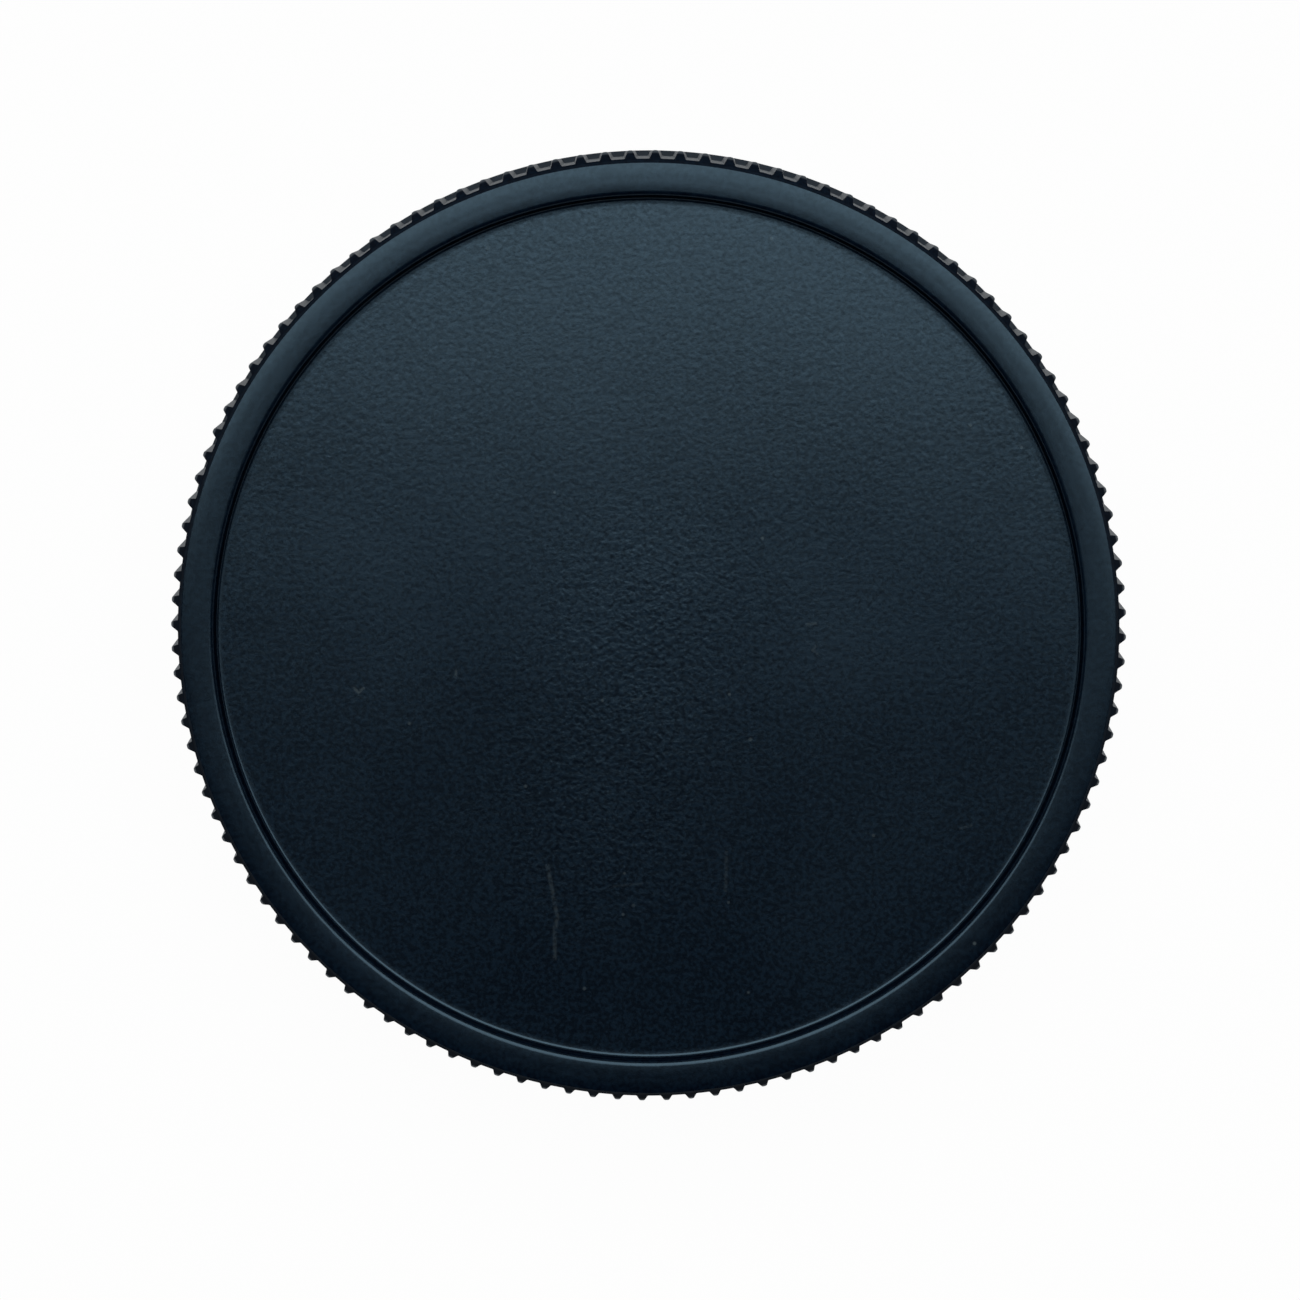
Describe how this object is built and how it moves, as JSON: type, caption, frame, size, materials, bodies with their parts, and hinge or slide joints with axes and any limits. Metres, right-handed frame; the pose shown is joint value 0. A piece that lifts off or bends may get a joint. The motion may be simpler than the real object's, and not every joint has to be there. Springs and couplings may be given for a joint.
{
  "type": "rear lens cap",
  "caption": "Round one-piece rear lens cap with a knurled band over a smooth collar, a raised border ring, a shallow recessed disc and bayonet claws inside its mouth.",
  "frame": {"origin": "centre of the mouth rim, on the plane that the cap rests on", "axes": "+Z along the cap's axis, from the open mouth to the closed face; +X through the middle of a rib and the ramp end of one claw"},
  "size_m": [0.06, 0.06, 0.0135],
  "materials": {
    "black_plastic": "moulded black plastic, fine spark-eroded texture on the disc, satin ring and ribs"
  },
  "bodies": {
    "root": {"rear_cap": "black_plastic"}
  },
  "joints": []
}
